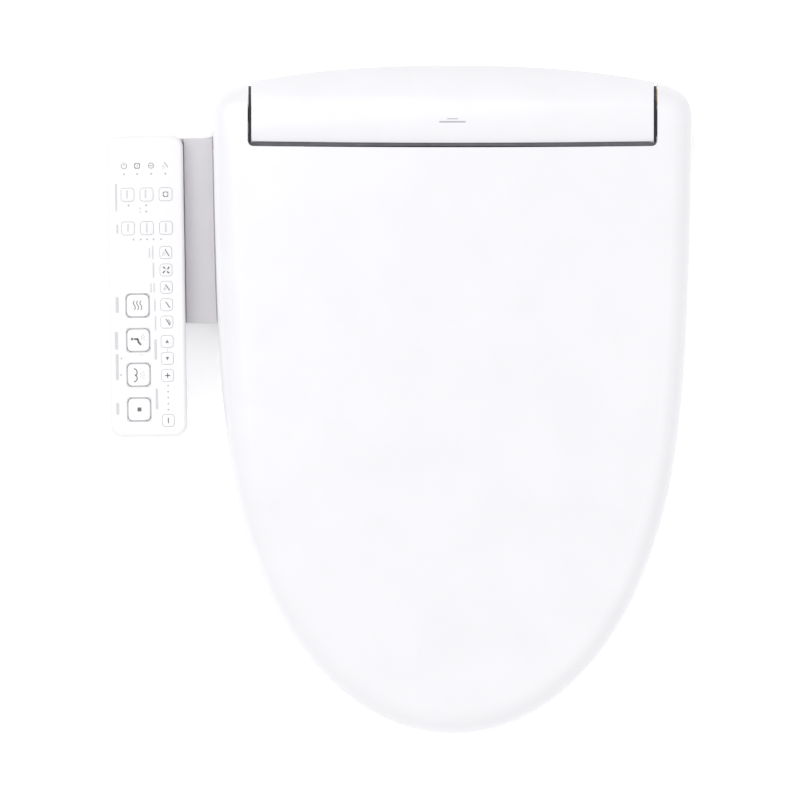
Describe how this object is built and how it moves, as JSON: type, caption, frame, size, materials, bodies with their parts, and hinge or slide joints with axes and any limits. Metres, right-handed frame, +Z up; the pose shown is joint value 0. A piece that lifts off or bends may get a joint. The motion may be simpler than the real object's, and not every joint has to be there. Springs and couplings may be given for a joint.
{
  "type": "electric bidet seat",
  "caption": "Heated toilet seat with a slow-closing lid, a rear wash and dryer housing and a keypad on an arm at one side.",
  "frame": {"origin": "centre of the mounting plate's underside, on the bowl's rim between its two bolt slots", "axes": "+Y to the rear of the seat, +Z up, +X to the seated user's left; the panel is on the -X side"},
  "size_m": [0.4649, 0.53, 0.1435],
  "materials": {
    "gloss_shell": "glossy white moulded plastic with a very fine ripple",
    "satin_shell": "satin white moulded plastic",
    "arm_shell": "satin pale grey moulded plastic",
    "key_caps": "glossy white key caps with fine grey outlines",
    "wand": "smooth glossy white",
    "rubber_feet": "soft pale grey rubber",
    "rubber_seal": "soft dark grey rubber",
    "black_plastic": "black moulded plastic",
    "inner_plastic": "natural white moulded plastic",
    "steel": "drawn steel",
    "brass": "turned brass",
    "circuit_board": "solder-masked board",
    "heater_film": "foil heater film",
    "print_ink": "screen printed marks on the panel and its keys"
  },
  "bodies": {
    "housing": {"mounting_plate": "satin_shell", "base_shell": "satin_shell", "front_shroud": "satin_shell", "rear_cover": "gloss_shell", "gap_seal": "rubber_seal", "hinge_pin_left": "steel", "hinge_pin_right": "steel", "seat_damper": "black_plastic", "lid_damper": "black_plastic", "nozzle_cradle": "inner_plastic", "nozzle_motor": "steel", "water_tank": "inner_plastic", "water_inlet": "brass", "power_gland": "black_plastic", "inlet_valve": "black_plastic", "dryer_scroll": "black_plastic", "dryer_motor": "steel", "dryer_duct": "black_plastic", "control_board": "circuit_board", "arm_tray": "arm_shell", "arm_cover": "arm_shell", "panel_case": "gloss_shell", "panel_cover": "gloss_shell", "panel_board": "circuit_board"},
    "seat": {"seat_top": "gloss_shell", "seat_bottom": "satin_shell", "seat_heater": "heater_film", "seat_buffer_front_left": "rubber_feet", "seat_buffer_front_right": "rubber_feet", "seat_buffer_rear_left": "rubber_feet", "seat_buffer_rear_right": "rubber_feet"},
    "lid": {"lid_shell": "gloss_shell", "lid_buffer_left": "rubber_feet", "lid_buffer_right": "rubber_feet"},
    "nozzle": {"nozzle_wand": "wand"},
    "pinion": {"drive_pinion": "black_plastic"},
    "fan": {"dryer_fan": "inner_plastic"},
    "release": {"release_button": "satin_shell"},
    "filter": {"odour_filter": "inner_plastic"},
    "key_dryer": {"key_dryer": "key_caps"},
    "key_front": {"key_front": "key_caps"},
    "key_rear": {"key_rear": "key_caps"},
    "key_stop": {"key_stop": "key_caps"},
    "key_wand_clean": {"key_wand_clean": "key_caps"},
    "key_air_dry": {"key_air_dry": "key_caps"},
    "key_mist": {"key_mist": "key_caps"},
    "key_pulse": {"key_pulse": "key_caps"},
    "key_sweep": {"key_sweep": "key_caps"},
    "key_position_back": {"key_position_back": "key_caps"},
    "key_position_front": {"key_position_front": "key_caps"},
    "key_pressure_up": {"key_pressure_up": "key_caps"},
    "key_pressure_down": {"key_pressure_down": "key_caps"},
    "key_top_a": {"key_top_a": "key_caps"},
    "key_top_b": {"key_top_b": "key_caps"},
    "key_top_c": {"key_top_c": "key_caps"},
    "key_low_a": {"key_low_a": "key_caps"},
    "key_low_b": {"key_low_b": "key_caps"},
    "key_low_c": {"key_low_c": "key_caps"}
  },
  "joints": [
    {"name": "seat_hinge", "type": "hinge", "parent": "housing", "child": "seat", "pos_m": [0, 0.022, 0.084], "axis": [1, 0, 0], "range_deg": [-94, 0]},
    {"name": "lid_hinge", "type": "hinge", "parent": "seat", "child": "lid", "pos_m": [0, 0.022, 0.084], "axis": [-1, 0, 0], "range_deg": [0, 95]},
    {"name": "nozzle_slide", "type": "slide", "parent": "housing", "child": "nozzle", "axis": [0, -0.9563, -0.2924], "range_m": [0, 0.09]},
    {"name": "pinion_spin", "type": "hinge", "parent": "housing", "child": "pinion", "pos_m": [0.018, -0.04974, 0.01767], "axis": [0, -0.2924, 0.9563], "range_deg": [0, 645]},
    {"name": "fan_spin", "type": "hinge", "parent": "housing", "child": "fan", "pos_m": [-0.06, 0.014, 0.048], "axis": [0, 1, 0], "continuous": true},
    {"name": "filter_pull", "type": "slide", "parent": "housing", "child": "filter", "axis": [-1, 0, 0], "range_m": [0, 0.045]},
    {"name": "release_press", "type": "slide", "parent": "housing", "child": "release", "axis": [-1, 0, 0], "range_m": [0, 0.003], "stiffness_N_per_m": 800},
    {"name": "travel_key_dryer", "type": "slide", "parent": "housing", "child": "key_dryer", "axis": [0, 0, -1], "range_m": [0, 0.001], "stiffness_N_per_m": 400},
    {"name": "travel_key_front", "type": "slide", "parent": "housing", "child": "key_front", "axis": [0, 0, -1], "range_m": [0, 0.001], "stiffness_N_per_m": 400},
    {"name": "travel_key_rear", "type": "slide", "parent": "housing", "child": "key_rear", "axis": [0, 0, -1], "range_m": [0, 0.001], "stiffness_N_per_m": 400},
    {"name": "travel_key_stop", "type": "slide", "parent": "housing", "child": "key_stop", "axis": [0, 0, -1], "range_m": [0, 0.001], "stiffness_N_per_m": 400},
    {"name": "travel_key_wand_clean", "type": "slide", "parent": "housing", "child": "key_wand_clean", "axis": [0, 0, -1], "range_m": [0, 0.001], "stiffness_N_per_m": 400},
    {"name": "travel_key_air_dry", "type": "slide", "parent": "housing", "child": "key_air_dry", "axis": [0, 0, -1], "range_m": [0, 0.001], "stiffness_N_per_m": 400},
    {"name": "travel_key_mist", "type": "slide", "parent": "housing", "child": "key_mist", "axis": [0, 0, -1], "range_m": [0, 0.001], "stiffness_N_per_m": 400},
    {"name": "travel_key_pulse", "type": "slide", "parent": "housing", "child": "key_pulse", "axis": [0, 0, -1], "range_m": [0, 0.001], "stiffness_N_per_m": 400},
    {"name": "travel_key_sweep", "type": "slide", "parent": "housing", "child": "key_sweep", "axis": [0, 0, -1], "range_m": [0, 0.001], "stiffness_N_per_m": 400},
    {"name": "travel_key_position_back", "type": "slide", "parent": "housing", "child": "key_position_back", "axis": [0, 0, -1], "range_m": [0, 0.001], "stiffness_N_per_m": 400},
    {"name": "travel_key_position_front", "type": "slide", "parent": "housing", "child": "key_position_front", "axis": [0, 0, -1], "range_m": [0, 0.001], "stiffness_N_per_m": 400},
    {"name": "travel_key_pressure_up", "type": "slide", "parent": "housing", "child": "key_pressure_up", "axis": [0, 0, -1], "range_m": [0, 0.001], "stiffness_N_per_m": 400},
    {"name": "travel_key_pressure_down", "type": "slide", "parent": "housing", "child": "key_pressure_down", "axis": [0, 0, -1], "range_m": [0, 0.001], "stiffness_N_per_m": 400},
    {"name": "travel_key_top_a", "type": "slide", "parent": "housing", "child": "key_top_a", "axis": [0, 0, -1], "range_m": [0, 0.001], "stiffness_N_per_m": 400},
    {"name": "travel_key_top_b", "type": "slide", "parent": "housing", "child": "key_top_b", "axis": [0, 0, -1], "range_m": [0, 0.001], "stiffness_N_per_m": 400},
    {"name": "travel_key_top_c", "type": "slide", "parent": "housing", "child": "key_top_c", "axis": [0, 0, -1], "range_m": [0, 0.001], "stiffness_N_per_m": 400},
    {"name": "travel_key_low_a", "type": "slide", "parent": "housing", "child": "key_low_a", "axis": [0, 0, -1], "range_m": [0, 0.001], "stiffness_N_per_m": 400},
    {"name": "travel_key_low_b", "type": "slide", "parent": "housing", "child": "key_low_b", "axis": [0, 0, -1], "range_m": [0, 0.001], "stiffness_N_per_m": 400},
    {"name": "travel_key_low_c", "type": "slide", "parent": "housing", "child": "key_low_c", "axis": [0, 0, -1], "range_m": [0, 0.001], "stiffness_N_per_m": 400}
  ],
  "couplings": [
    {"joint": "pinion_spin", "follows": "nozzle_slide", "rad_per_m": 125}
  ]
}
